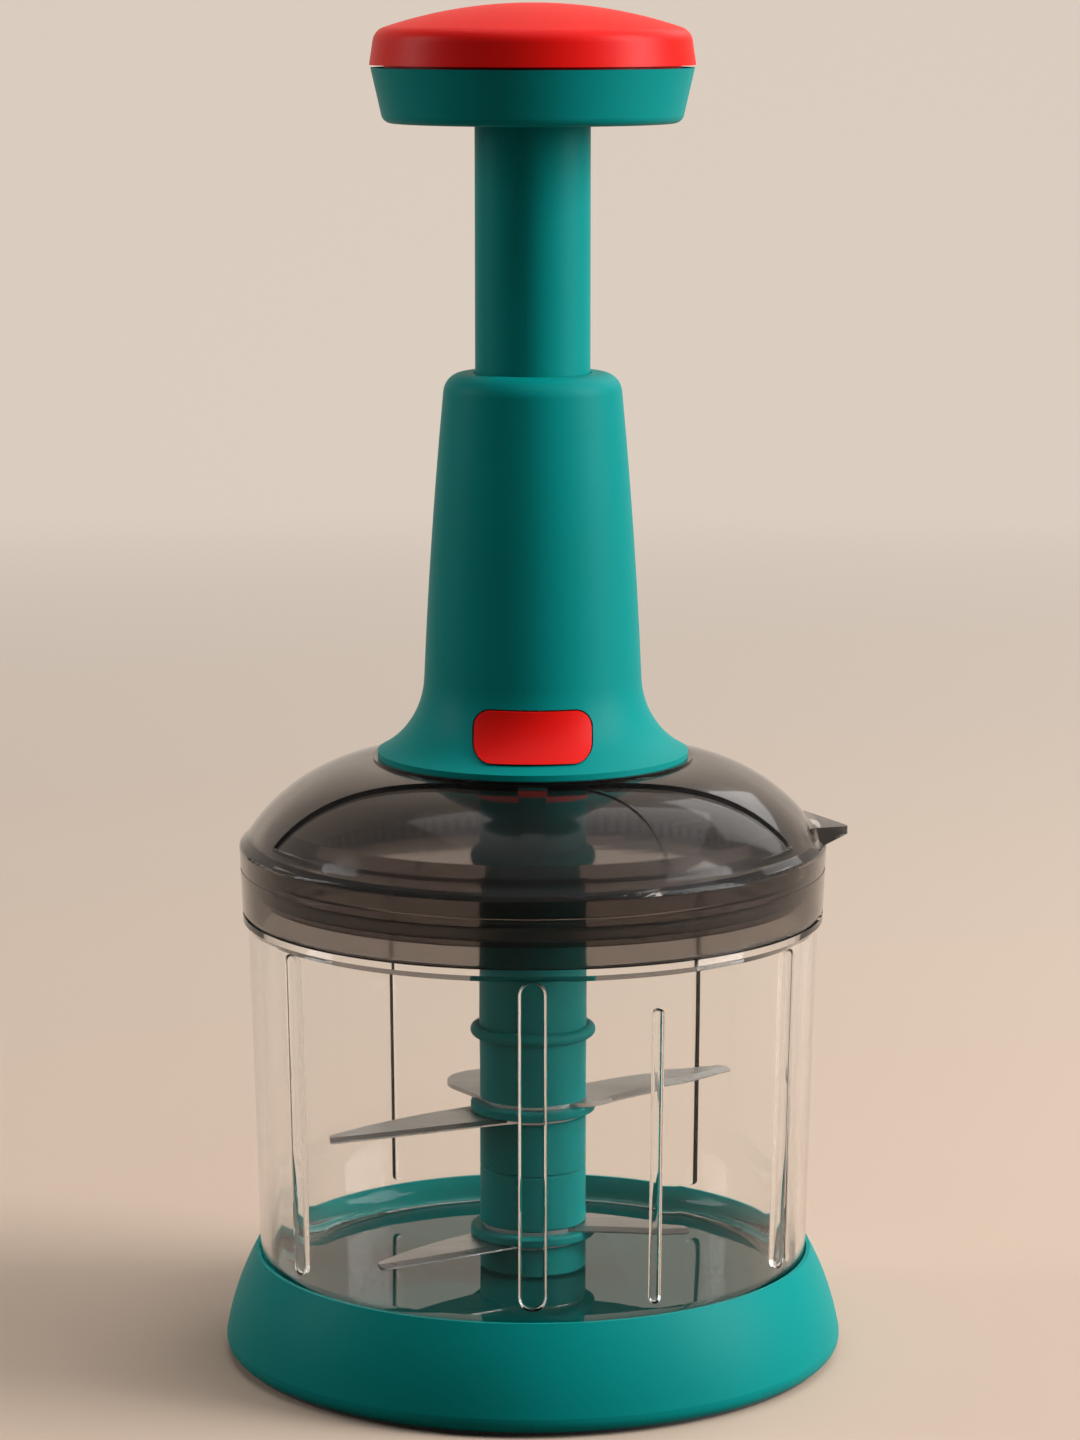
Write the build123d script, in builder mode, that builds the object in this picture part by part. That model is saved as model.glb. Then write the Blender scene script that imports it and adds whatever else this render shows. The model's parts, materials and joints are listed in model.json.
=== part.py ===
from build123d import *
import os
from math import atan, cos, radians, sin, sqrt

# Hand-press food chopper, in millimetres. The origin is on the floor under the middle of the base
# and +Z is up. The button faces -Y and the lid's tab points along +X.
# Pushing the knob drives a nut down a twisted rod. The rod turns the blade shaft in the bowl.

os.makedirs("parts", exist_ok=True)

# Clearances that all pieces share
run_gap = 0.3  # between pieces that move past each other
fit_gap = 0.05  # radial play of a running fit, or of a piece in its seat
overrun = 1.0  # how far a cut runs past the face that it opens

# Base
base_flare = 8.6  # foot of the base beyond the foot of the bowl
base_height = 25.0
base_bulge = 0.9  # how far the sloping side bows out
base_rim = 0.9  # width of the rim around the bowl
base_floor = 3.0
foot_height = 4.6  # height of the widest ring
foot_width = 10.0
foot_round = 3.0
grip_width = 4.4
grip_depth = 2.0  # how deep the grip ring sits in the base
grip_proud = 0.8  # how far it stands out below

# Bowl
seat_height = 16.5  # underside of the bowl above the floor
bowl_height = 102.5
bowl_mouth_radius = 68.0
bowl_taper = 2.4  # foot narrower than the mouth
bowl_wall = 2.4
bowl_floor = 3.5
bowl_edge = 2.5
bowl_corner = 6.0
bead_height = 3.0  # stop bead under the lid
bead_width = 1.3
rib_proud = 2.0
rib_round = 1.0
wide_rib = 6.4
side_rib = 4.4
thin_rib = 2.6
rib_start = 7.0  # lower end of the ribs above the bowl's floor
rib_drop = 0.6  # upper end of the ribs below the stop bead
short_rib_drop = 8.2
wide_rib_angle = -90
side_rib_angles = (-147.5, -26.5)
thin_rib_angles = (49.6, 123.7)
short_rib_angle = -64
pin_radius = 2.5
pin_height = 18.0  # above the bowl's floor
pin_skin = 1.2  # plastic left under the pin
pin_boss_radius = 5.5
pin_boss_height = 2.5

# Lid
lid_proud = 2.0  # skirt beyond the bowl's mouth
lid_overlap = 11.2  # how far the skirt reaches down over the bowl's neck
lid_wall = 2.2
skirt_height = 16.4
skirt_draft = 0.7
skirt_round = 1.4
skirt_line_height = 0.8
skirt_line_depth = 0.4
bevel_width = 2.0  # sloping band between skirt and dome
bevel_height = 2.0
lid_rise = 20.8  # crown above the top of the skirt
crown_lip = 1.2  # crown beyond the tower's foot
crown_step = 0.6
collar_thickness = 2.7
dome_bulge = 4.0
panel_depth = 1.2
panel_margin = 1.2
panel_top_angle = 28  # from a panel's middle to its corner at the crown
panel_foot_angle = 64  # and to its corner at the brow
panel_end_slope = 50  # of a panel's ends against the dome
front_rib_proud = 1.0  # above the panel
front_rib_width = 7.0
front_rib_tip = 4.6
crease_proud = 0.4  # curved line on the front panel, above the panel
crease_width = 0.9
crease_bow = 2.6
crease_round = 2.0
crease_inset = 2.4  # from the panel's outer edge
crease_angles = (-71.5, -61.5, -70.0)  # at its top, corner and end
tab_reach = 5.6  # beyond the lid's skirt
tab_rise = 3.4  # tip above the top of the skirt
tab_half_width = 12.0
tab_thickness = 1.6
tab_round = 1.5
plug_depth = 7.0  # how far the plug ring reaches into the bowl
plug_wall = 2.0
seal_height = 3.0
seal_width = 2.4
seal_gap = 0.25

# Tower
tower_height = 91.0
sleeve_room = 0.6  # between the guide sleeve and the tower's wall at the top
tower_taper = 5.2  # neck wider than the top
flare_width = 11.1  # foot wider than the neck
tower_wall = 2.4
tower_roof = 4.0
tower_round = 4.8
neck_height = 18.5  # where the flare begins, above the tower's foot
barrel_bulge = 0.5
flange_edge = 1.3

# Plunger and knob
stroke = 56.0
stop_reserve = 2.0  # room left between knob and tower at the end of the stroke
tube_radius = 13.55
tube_wall = 2.2
tube_end_wall = 3.0
knob_radius = 38.0
knob_taper = 3.2  # underside narrower than the seam
cup_height = 12.8
cup_round = 2.4
cup_wall = 2.2
cup_floor = 2.4
cup_rib = 1.8
cup_rib_count = 6
hub_wall = 2.2
hub_drop = 1.5  # top of the hub below the seam
seam_gap = 0.6
cap_height = 14.3
cap_edge_height = 7.9
cap_edge_inset = 1.2
cap_wall = 2.2
cap_round = 3.8
lip_depth = 3.2
lip_wall = 1.8
knob_screw_radius = 1.6
knob_screw_head = 3.4
knob_screw_head_height = 2.0

# Twisted rod and its nut
twist_lead = 28.0  # travel of the nut for one turn
twist_width = 9.6
twist_thickness = 4.8
twist_round = 0.8
twist_gap = 0.3
nut_step = 2.45  # nut's flange beyond the tube
nut_flange_height = 5.0
nut_spigot_height = 10.0
nut_pin_radius = 1.2
nut_pin_length = 4.6
key_width = 3.0
key_height = 1.4
sleeve_wall = 1.3
rod_radius = 5.0
rod_collar_radius = 7.5
rod_collar_height = 1.5
rod_square = 6.6
rod_tip_radius = 2.0
rod_tip_height = 3.5
rod_bush_wall = 3.0
bush_flange_width = 1.6
bush_flange_height = 1.0
washer_height = 0.8
seat_play = 1.15  # between spring seat and tube
seat_thickness = 2.0
spring_play = 2.1  # between spring and tube
spring_wire = 1.3
spring_turns = 9

# Plate at the tower's foot, its neck and the nut that clamps the lid
plate_inset = 3.3  # from the inside of the tower's foot
plate_thickness = 3.0
plate_neck_radius = 13.5
lid_nut_width = 2.8
lid_nut_height = 3.0
lid_nut_notch = 2.4
lid_nut_notch_count = 8
plate_screw_inset = 6.0  # from the plate's edge
plate_screw_radius = 1.4
plate_screw_head = 2.7
plate_screw_head_height = 1.7
plate_screw_length = 9.0
screw_boss_radius = 3.4
screw_boss_height = 11.5

# Button and catch
button_width = 27.4
button_height = 11.0
button_round = 4.0
button_rise = 3.5  # lower edge above the tower's foot
button_proud = 0.9
button_travel = 2.2
catch_plate = 1.5
catch_half_width = 12.0
catch_lip = 2.0
catch_top_half_width = 6.0
tongue_height = 2.0
tongue_half_width = 5.0
button_spring_radius = 2.0
button_spring_wire = 0.5
button_spring_turns = 5

# Blade shaft and blades
shaft_radius = 12.75
shaft_joint_height = 14.2  # top of the shaft above the lid's skirt
flange_width = 2.25
flange_thickness = 2.3
upper_flange_height = 39.0  # above the bowl's floor
seam_height = 25.0
lower_flange_height = 8.2
seam_chamfer = 0.4
core_radius = 7.6
core_clear = 4.0  # lower end of the hexagon core above the bowl's floor
bead_section = 1.5
bead_rise = 58.8  # middle bead above the bowl's floor
top_bead_section = 2.6
top_bead_drop = 2.6
dog_radius = 8.4
dog_length = 13.0
dog_gap = 0.2
bush_wall = 1.5
sleeve_screw_radius = 1.8
sleeve_screw_head = 3.4
sleeve_screw_head_height = 2.4
sleeve_screw_grip = 7.0
blade_thickness = 1.0
blade_hub_inset = 0.6  # hub of a blade inside the shaft's surface
blade_tip_round = 1.0
edge_bevel_width = 2.2
edge_bevel_depth = 0.6
blade_gap = 3.6  # tip of the longest blade from the bowl's ribs
upper_root = 16.0
upper_aside = 8.5  # middle of the upper arm beside the axis
lobe_reach = 29.5
lobe_round = 11.5
second_short = 1.2  # second arm shorter than the longest
second_root = 17.0
third_reach = 39.0
third_root = 16.0
fourth_reach = 47.0
fourth_root = 15.0
arm_belly_share = 0.06  # bow of an arm's back, as a share of its reach
arm_tip_share = 0.12  # half width of an arm's tip, as a share of its root
upper_angle = 40
lobe_angle = 122
second_angle = 212
third_angle = -14
fourth_angle = 219

# Heights of the stack, from the floor up
floor_z = seat_height + bowl_floor
rim_z = seat_height + bowl_height
skirt_z = rim_z - lid_overlap
shoulder_z = skirt_z + skirt_height
collar_z = shoulder_z + lid_rise
tower_top_z = collar_z + tower_height
knob_z = tower_top_z + stroke + stop_reserve
seam_z = knob_z + cup_height
plate_top_z = collar_z + plate_thickness
neck_low_z = collar_z - collar_thickness - lid_nut_height
bush_top_z = plate_top_z + bush_flange_height
rod_collar_z = bush_top_z + washer_height
twist_z = rod_collar_z + rod_collar_height
nut_z = twist_z + run_gap + stroke
nut_flange_top_z = nut_z + nut_flange_height
nut_top_z = nut_flange_top_z + nut_spigot_height
rod_top_z = nut_top_z + run_gap
hub_top_z = seam_z - hub_drop
tube_top_z = hub_top_z - cup_floor
tube_ceiling_z = tube_top_z - tube_end_wall
shaft_top_z = skirt_z + shaft_joint_height
upper_flange_z = floor_z + upper_flange_height
lower_flange_z = floor_z + lower_flange_height

# Radii that follow from a neighbour
bowl_foot_radius = bowl_mouth_radius - bowl_taper
base_radius = bowl_foot_radius + base_flare
lid_radius = bowl_mouth_radius + lid_proud
knob_foot_radius = knob_radius - knob_taper
neck_radius = lid_radius - lid_wall - run_gap
inner_foot_radius = bowl_foot_radius - bowl_wall
inner_rim_radius = neck_radius - bowl_wall
tube_bore = tube_radius - tube_wall
nut_flange_radius = tube_radius + nut_step
guide_radius = nut_flange_radius + run_gap
sleeve_radius = guide_radius + sleeve_wall
tower_top_radius = sleeve_radius + sleeve_room + tower_wall
tower_neck_radius = tower_top_radius + tower_taper
tower_foot_radius = tower_neck_radius + flare_width
crown_radius = tower_foot_radius + crown_lip
plate_radius = tower_foot_radius - tower_wall - plate_inset
plate_screw_circle = plate_radius - plate_screw_inset
spring_radius = tube_bore - spring_play - spring_wire / 2
seat_radius = tube_bore - seat_play
rod_bush_radius = rod_radius + rod_bush_wall
plate_neck_hole = plate_neck_radius + run_gap
lid_nut_radius = plate_neck_radius + lid_nut_width
pin_bush_radius = pin_radius + bush_wall
flange_radius = shaft_radius + flange_width
blade_hub_radius = shaft_radius - blade_hub_inset
long_reach = inner_foot_radius - rib_proud - blade_gap
upper_reach = sqrt(long_reach**2 - (upper_aside + arm_tip_share * upper_root) ** 2)
second_reach = long_reach - second_short


def cylinder(radius, low, high, mode=Mode.ADD):
    """Upright cylinder on the axis, from one height to another."""
    with Locations((0, 0, low)):
        Cylinder(radius, high - low, align=(Align.CENTER, Align.CENTER, Align.MIN), mode=mode)


def ring(outer, inner, low, high):
    """Upright ring on the axis."""
    cylinder(outer, low, high)
    cylinder(inner, low - overrun, high + overrun, Mode.SUBTRACT)


def hexagon(radius, low, high):
    """Upright hexagon bar on the axis, for adding or cutting."""
    with BuildPart() as bar:
        with BuildSketch(Plane.XY.offset(low)):
            RegularPolygon(radius, 6)
        extrude(amount=high - low)
    return bar.part


def upright_plane(angle):
    """Plane through the axis whose x points out at an angle and whose y is up."""
    turn = radians(angle)
    return Plane(origin=(0, 0, 0), x_dir=(cos(turn), sin(turn), 0), z_dir=(sin(turn), -cos(turn), 0))


def corner(sketch, radius, height):
    """The vertex of a section that is nearest to a radius and height."""
    return sketch.vertices().sort_by_distance((radius, height, 0))[0]


def twisted_bar(grow, low, high):
    """Twisted flat bar about the axis, grown by a clearance. Its angle depends on height alone."""
    start = 360 * low / twist_lead
    with BuildSketch(Plane.XY.offset(low)) as section:
        RectangleRounded(twist_width + 2 * grow, twist_thickness + 2 * grow, twist_round, rotation=start)
    turn = 360 * (high - low) / twist_lead
    return Solid.extrude_linear_with_rotation(section.sketch.face(), (0, 0, low), (0, 0, high - low), turn)


def coil(turns, height, radius, wire, start):
    """Compression spring as one tube along a helix, between two flat ends on a plane."""
    path = Helix((height - wire) / turns, height - wire, radius)
    with BuildPart() as spring:
        with BuildSketch(Plane(path @ 0, z_dir=path % 0)):
            Circle(wire / 2)
        sweep(path=path, is_frenet=True)
    return start.offset(wire / 2).location * spring.part


# Base stand: a revolved body with a recess for the bowl, hollow below
recess_radius = bowl_foot_radius + run_gap
recess_lean = (bowl_mouth_radius - bowl_foot_radius) / (skirt_z - bead_height - seat_height)
recess_depth = base_height - seat_height
recess_mouth = recess_radius + recess_lean * recess_depth
cavity_radius = base_radius - foot_width
grip_radius = base_radius - foot_width / 2 + grip_width / 2

with BuildPart() as base_stand:
    with BuildSketch(Plane.XZ) as section:
        with BuildLine():
            side = SagittaArc((recess_mouth + base_rim, base_height), (base_radius, foot_height), base_bulge)
            Polyline(side @ 1, (base_radius, grip_proud), (0, grip_proud), (0, base_height), side @ 0)
        make_face()
        fillet(corner(section, base_radius, grip_proud), foot_round)
    revolve(axis=Axis.Z)
    with BuildSketch(Plane.XZ):
        with BuildLine():
            Polyline(
                (0, seat_height),
                (recess_radius, seat_height),
                (recess_mouth, base_height),
                (recess_mouth, base_height + overrun),
                (0, base_height + overrun),
                close=True,
            )
        make_face()
    revolve(axis=Axis.Z, mode=Mode.SUBTRACT)
    cylinder(cavity_radius, 0, seat_height - base_floor, Mode.SUBTRACT)
    with BuildSketch(Plane.XY.offset(grip_proud)):
        Circle(grip_radius)
        Circle(grip_radius - grip_width, mode=Mode.SUBTRACT)
    extrude(amount=grip_depth, mode=Mode.SUBTRACT)
base_stand.part.label = "base_stand"
export_step(base_stand.part, "parts/base_stand.step")

# Grip ring in the groove below
with BuildPart() as grip_ring:
    ring(grip_radius - fit_gap, grip_radius - grip_width + fit_gap, 0, grip_proud + grip_depth)
grip_ring.part.label = "grip_ring"
export_step(grip_ring.part, "parts/grip_ring.step")


# Bowl: a tapered shell with a stop bead, a neck for the lid and ribs inside
def bowl_inside(height):
    """Inner radius of the bowl's wall at a height."""
    share = (height - floor_z) / (rim_z - floor_z)
    return inner_foot_radius + (inner_rim_radius - inner_foot_radius) * share


def wall_plane(angle, height):
    """Plane in the middle of the bowl's wall that faces the axis, with x up along the wall."""
    lean = atan((inner_rim_radius - inner_foot_radius) / (rim_z - floor_z))
    out = Vector(cos(radians(angle)), sin(radians(angle)), 0)
    up = out * sin(lean) + Vector(0, 0, cos(lean))
    inward = out * -cos(lean) + Vector(0, 0, sin(lean))
    middle = out * (bowl_inside(height) + bowl_wall / 2) + Vector(0, 0, height)
    return Plane(origin=middle, x_dir=up, z_dir=inward)


def faces_axis(face):
    """True for a flat face that looks at the axis, as the crest of a rib does."""
    inward = Vector(-face.center().X, -face.center().Y, 0)
    return inward.length > core_radius and face.normal_at().dot(inward.normalized()) > cos(radians(10))


bead_low_z = skirt_z - bead_height
ribs = [(wide_rib_angle, wide_rib, rib_drop)]
ribs += [(angle, side_rib, rib_drop) for angle in side_rib_angles]
ribs += [(angle, thin_rib, rib_drop) for angle in thin_rib_angles]
ribs += [(short_rib_angle, thin_rib, short_rib_drop)]

with BuildPart() as bowl:
    with BuildSketch(Plane.XZ) as section:
        with BuildLine():
            Polyline(
                (0, seat_height),
                (bowl_foot_radius, seat_height),
                (bowl_mouth_radius, bead_low_z),
                (bowl_mouth_radius + bead_width, bead_low_z + bead_height / 2),
                (bowl_mouth_radius + bead_width, skirt_z),
                (neck_radius, skirt_z),
                (neck_radius, rim_z),
                (inner_rim_radius, rim_z),
                (inner_foot_radius, floor_z),
                (0, floor_z),
                close=True,
            )
        make_face()
        fillet(corner(section, bowl_foot_radius, seat_height), bowl_edge)
        fillet(corner(section, inner_foot_radius, floor_z), bowl_corner)
    revolve(axis=Axis.Z)
    for angle, width, drop in ribs:
        rib_low = floor_z + rib_start
        rib_high = bead_low_z - drop
        with BuildSketch(wall_plane(angle, (rib_low + rib_high) / 2)):
            SlotOverall(rib_high - rib_low, width)
        extrude(amount=bowl_wall / 2 + rib_proud)
    crests = bowl.faces().filter_by(GeomType.PLANE).filter_by(faces_axis)
    fillet(crests.edges(), rib_round)
    cylinder(pin_boss_radius, floor_z, floor_z + pin_boss_height)
    cylinder(pin_radius, seat_height + pin_skin, floor_z + pin_height, Mode.SUBTRACT)
bowl.part.label = "bowl"
export_step(bowl.part, "parts/bowl.step")

# Pivot pin, pressed into the boss on the bowl's floor
with BuildPart() as pivot_pin:
    cylinder(pin_radius, seat_height + pin_skin, floor_z + pin_height)
    chamfer(pivot_pin.edges().sort_by(Axis.Z)[-1], pin_radius / 4)
pivot_pin.part.label = "pivot_pin"
export_step(pivot_pin.part, "parts/pivot_pin.step")

# Lid: a smoked shell with a domed top, a recessed panel in front and behind, and a tab
crown = (crown_radius, collar_z - crown_step)
brow = (lid_radius - bevel_width, shoulder_z + bevel_height)
inner_crown = (crown_radius - lid_wall / 2, collar_z - collar_thickness)
inner_brow = (brow[0] - lid_wall, brow[1] - lid_wall)
skirt_bore = lid_radius - lid_wall
plug_z = rim_z - plug_depth
seal_z = plug_z + seal_height / 2
seal_radius = bowl_inside(seal_z) - seal_gap
plug_radius = seal_radius - seal_width / 2


def dome_band(rise, drop, inner, outer):
    """Section of a band along the dome, from drop below its surface to rise above it."""
    with BuildSketch(Plane.XZ) as band:
        with BuildLine():
            over = SagittaArc((crown[0], crown[1] + rise), (brow[0], brow[1] + rise), dome_bulge)
            under = SagittaArc((crown[0], crown[1] - drop), (brow[0], brow[1] - drop), dome_bulge)
            Line(over @ 0, under @ 0)
            Line(over @ 1, under @ 1)
        make_face()
        with Locations(((inner + outer) / 2, collar_z)):
            Rectangle(outer - inner, 2 * collar_z, mode=Mode.INTERSECT)
    return band.sketch


panel_inner = crown_radius + panel_margin
panel_outer = brow[0] - panel_margin
panel_root = panel_depth + lid_wall / 4
panel_section = dome_band(overrun, panel_depth, panel_inner, panel_outer)
rib_section = dome_band(front_rib_proud - panel_depth, panel_root, crown_radius, brow[0])
crease_section = dome_band(crease_proud - panel_depth, panel_root, crown_radius, brow[0])


def panel_end():
    """Plane of a panel's right end, through its corners at the crown and the brow, facing the panel."""
    top = Vector(0, -panel_inner, crown[1]).rotate(Axis.Z, panel_top_angle)
    foot = Vector(0, -panel_outer, brow[1]).rotate(Axis.Z, panel_foot_angle)
    along = (foot - top).normalized()
    middle_turn = (panel_top_angle + panel_foot_angle) / 2
    normal = Vector(0, brow[1] - crown[1], brow[0] - crown[0]).rotate(Axis.Z, middle_turn)
    across = normal.cross(along).normalized()
    slope = radians(panel_end_slope)
    return Plane(origin=top, x_dir=along, z_dir=along.cross(across) * cos(slope) - across * sin(slope))


with BuildPart() as half_panel:
    revolve(panel_section, axis=Axis.Z)
    Box(lid_radius, lid_radius, 2 * collar_z, align=(Align.MIN, Align.MAX, Align.MIN), mode=Mode.INTERSECT)
    with BuildSketch(panel_end()):
        Rectangle(4 * lid_radius, 4 * lid_radius)
    extrude(amount=2 * lid_radius, mode=Mode.INTERSECT)

with BuildPart() as panel:
    add([half_panel.part, half_panel.part.mirror(Plane.YZ)])

with BuildPart() as front_rib:
    with BuildSketch() as outline:
        with BuildLine():
            Polyline(
                (front_rib_width / 2, -crown_radius),
                (front_rib_tip / 2, -brow[0]),
                (-front_rib_tip / 2, -brow[0]),
                (-front_rib_width / 2, -crown_radius),
                close=True,
            )
        make_face()
        fillet(outline.vertices().group_by(Axis.Y)[0], front_rib_tip / 3)
    extrude(amount=2 * collar_z)
    revolve(rib_section, axis=Axis.Z, mode=Mode.INTERSECT)

crease_outer = panel_outer - crease_inset
crease_radii = (panel_inner, crease_outer, panel_outer - crease_width)
crease_points = [
    Vector(radius, 0).rotate(Axis.Z, angle) for radius, angle in zip(crease_radii, crease_angles)
]
with BuildPart() as crease:
    with BuildSketch():
        with BuildLine() as path:
            SagittaArc(crease_points[0], crease_points[1], crease_bow)
            Line(crease_points[1], crease_points[2])
            fillet(path.vertices().sort_by_distance(crease_points[1])[0], crease_round)
        trace(line_width=crease_width)
    extrude(amount=2 * collar_z)
    revolve(crease_section, axis=Axis.Z, mode=Mode.INTERSECT)

tab_root = brow[0] - tab_reach / 2
tab_tip = lid_radius + tab_reach
with BuildPart() as tab:
    with BuildSketch() as outline:
        with BuildLine():
            Polyline((tab_root, tab_half_width), (tab_tip, 0), (tab_root, -tab_half_width), close=True)
        make_face()
        fillet(corner(outline, tab_tip, 0), tab_round)
    extrude(amount=2 * collar_z)
    with BuildSketch(Plane.XZ):
        with BuildLine():
            Polyline(
                (tab_root, brow[1] + 2 * tab_thickness),
                (tab_tip, shoulder_z + tab_rise),
                (tab_tip, shoulder_z + tab_rise - tab_thickness),
                (lid_radius - lid_wall / 2, shoulder_z),
                (tab_root, brow[1] - lid_wall / 2),
                close=True,
            )
        make_face()
    revolve(axis=Axis.Z, mode=Mode.INTERSECT)

with BuildPart() as lid:
    with BuildSketch(Plane.XZ) as section:
        with BuildLine():
            SagittaArc(crown, brow, dome_bulge)
            Polyline(
                brow,
                (lid_radius, shoulder_z),
                (lid_radius - skirt_draft, skirt_z),
                (skirt_bore, skirt_z),
                (skirt_bore, shoulder_z - lid_wall / 2),
                inner_brow,
            )
            SagittaArc(inner_crown, inner_brow, dome_bulge)
            Polyline(
                inner_crown,
                (plate_neck_hole, inner_crown[1]),
                (plate_neck_hole, collar_z),
                (crown_radius, collar_z),
                crown,
            )
        make_face()
        fillet(corner(section, lid_radius - skirt_draft, skirt_z), skirt_round)
        fillet(corner(section, lid_radius, shoulder_z), skirt_round)
    revolve(axis=Axis.Z)
    add([panel.part, panel.part.rotate(Axis.Z, 180)], mode=Mode.SUBTRACT)
    add(front_rib.part)
    add(crease.part)
    add(tab.part)
    with BuildSketch(Plane.XZ):
        with Locations((lid_radius, rim_z)):
            Rectangle(2 * skirt_line_depth, skirt_line_height)
    revolve(axis=Axis.Z, mode=Mode.SUBTRACT)
lid.part.label = "lid"
export_step(lid.part, "parts/lid.step")

# Plug ring under the dome, which reaches into the bowl and carries the seal in a groove
with BuildPart() as lid_plug:
    with BuildSketch(Plane.XZ):
        with BuildLine():
            roof_start = (inner_crown[0], inner_crown[1] - fit_gap)
            roof = SagittaArc(roof_start, (inner_brow[0], inner_brow[1] - fit_gap), dome_bulge)
            Polyline(roof @ 1, (inner_brow[0], plug_z), (inner_crown[0], plug_z), roof @ 0)
        make_face()
        with Locations((plug_radius - plug_wall / 2, plug_z)):
            Rectangle(plug_wall, 2 * collar_z, mode=Mode.INTERSECT)
        with Locations((plug_radius, seal_z)):
            Rectangle(seal_width, seal_height, align=(Align.CENTER, Align.MIN), mode=Mode.SUBTRACT)
    revolve(axis=Axis.Z)
lid_plug.part.label = "lid_plug"
export_step(lid_plug.part, "parts/lid_plug.step")

# Seal ring in the plug's groove
with BuildPart() as lid_seal:
    ring(seal_radius, plug_radius - seal_width / 2, seal_z, seal_z + seal_height)
    fillet(lid_seal.edges().filter_by(GeomType.CIRCLE).sort_by(SortBy.RADIUS)[-2:], seal_height / 4)
lid_seal.part.label = "lid_seal"
export_step(lid_seal.part, "parts/lid_seal.step")


# Tower: a flared housing with a round top, screw bosses and a window for the button
def tower_section(grow, top):
    """Half section of the tower's outside, grown by a distance, up to a height."""
    with BuildSketch(Plane.XZ) as half:
        with BuildLine():
            head = (tower_top_radius + grow, top)
            neck = (tower_neck_radius + grow, collar_z + neck_height)
            foot = (tower_foot_radius + grow, collar_z + flange_edge)
            barrel = SagittaArc(head, neck, barrel_bulge)
            TangentArc(neck, foot, tangent=barrel % 1)
            Polyline(foot, (foot[0], collar_z), (0, collar_z), (0, top), head)
        make_face()
    return half.sketch


def button_block(grow, back):
    """Rounded block of the button's outline along Y, from far in front to a plane at the back."""
    front = tower_foot_radius + overrun
    middle_z = collar_z + button_rise + button_height / 2
    plane = Plane(origin=(0, -front, middle_z), x_dir=(1, 0, 0), z_dir=(0, 1, 0))
    with BuildPart() as block:
        with BuildSketch(plane):
            RectangleRounded(button_width + 2 * grow, button_height + 2 * grow, button_round + grow)
        extrude(amount=front - back)
    return block.part


tower_outside = tower_section(0, tower_top_z)
tower_inside = tower_section(-tower_wall, tower_top_z - tower_roof)
button_outside = tower_section(button_proud, tower_top_z)
catch_front = sleeve_radius + run_gap + button_travel + catch_plate
button_window = button_block(run_gap, sleeve_radius)
boss_limit = tower_section(-tower_wall / 2, tower_top_z - tower_roof)

with BuildPart() as screw_bosses:
    with BuildSketch(Plane.XY.offset(plate_top_z)):
        with PolarLocations(plate_screw_circle, 4, start_angle=45):
            Circle(screw_boss_radius)
    extrude(amount=screw_boss_height)
    revolve(boss_limit, axis=Axis.Z, mode=Mode.INTERSECT)

with BuildPart() as tower_housing:
    revolve(tower_outside, axis=Axis.Z)
    fillet(tower_housing.edges().sort_by(Axis.Z)[-1], tower_round)
    revolve(tower_inside, axis=Axis.Z, mode=Mode.SUBTRACT)
    add(screw_bosses.part)
    cylinder(plate_radius + run_gap, collar_z, plate_top_z, Mode.SUBTRACT)
    with BuildSketch(Plane.XY.offset(plate_top_z)):
        with PolarLocations(plate_screw_circle, 4, start_angle=45):
            Circle(plate_screw_radius)
    extrude(amount=plate_screw_length - plate_thickness + fit_gap, mode=Mode.SUBTRACT)
    cylinder(tube_radius + run_gap, tower_top_z - 2 * tower_roof, tower_top_z + overrun, Mode.SUBTRACT)
    add(button_window, mode=Mode.SUBTRACT)
tower_housing.part.label = "tower_housing"
export_step(tower_housing.part, "parts/tower_housing.step")

# Bearing plate at the tower's foot, with the neck that goes down through the lid
with BuildPart() as bearing_plate:
    cylinder(plate_radius, collar_z, plate_top_z)
    cylinder(plate_neck_radius, neck_low_z, plate_top_z)
    cylinder(rod_bush_radius, neck_low_z - overrun, plate_top_z + overrun, Mode.SUBTRACT)
    with Locations(Plane.XY.offset(collar_z)):
        with PolarLocations(plate_screw_circle, 4, start_angle=45):
            Cylinder(plate_screw_radius + fit_gap, 2 * plate_thickness, mode=Mode.SUBTRACT)
            Cylinder(plate_screw_head + fit_gap, 2 * plate_screw_head_height, mode=Mode.SUBTRACT)
    with Locations((0, -catch_front - run_gap, collar_z)):
        Box(
            2 * (catch_half_width + run_gap),
            2 * (run_gap + catch_plate + button_travel),
            4 * plate_thickness,
            mode=Mode.SUBTRACT,
        )
bearing_plate.part.label = "bearing_plate"
export_step(bearing_plate.part, "parts/bearing_plate.step")

# Four screws from the plate into the tower's bosses
with BuildPart() as plate_screws:
    with Locations(Plane.XY.offset(collar_z)):
        with PolarLocations(plate_screw_circle, 4, start_angle=45):
            Cylinder(plate_screw_radius, plate_screw_length, align=(Align.CENTER, Align.CENTER, Align.MIN))
            Cylinder(
                plate_screw_head, plate_screw_head_height, align=(Align.CENTER, Align.CENTER, Align.MIN)
            )
plate_screws.part.label = "plate_screws"
export_step(plate_screws.part, "parts/plate_screws.step")

# Ring nut under the lid's collar, with notches for a spanner
with BuildPart() as lid_nut:
    ring(lid_nut_radius, plate_neck_radius + fit_gap, neck_low_z, inner_crown[1])
    with Locations(Plane.XY.offset(neck_low_z)):
        with PolarLocations(lid_nut_radius, lid_nut_notch_count):
            Box(lid_nut_notch, lid_nut_notch, lid_nut_height, mode=Mode.SUBTRACT)
lid_nut.part.label = "lid_nut"
export_step(lid_nut.part, "parts/lid_nut.step")

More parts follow.
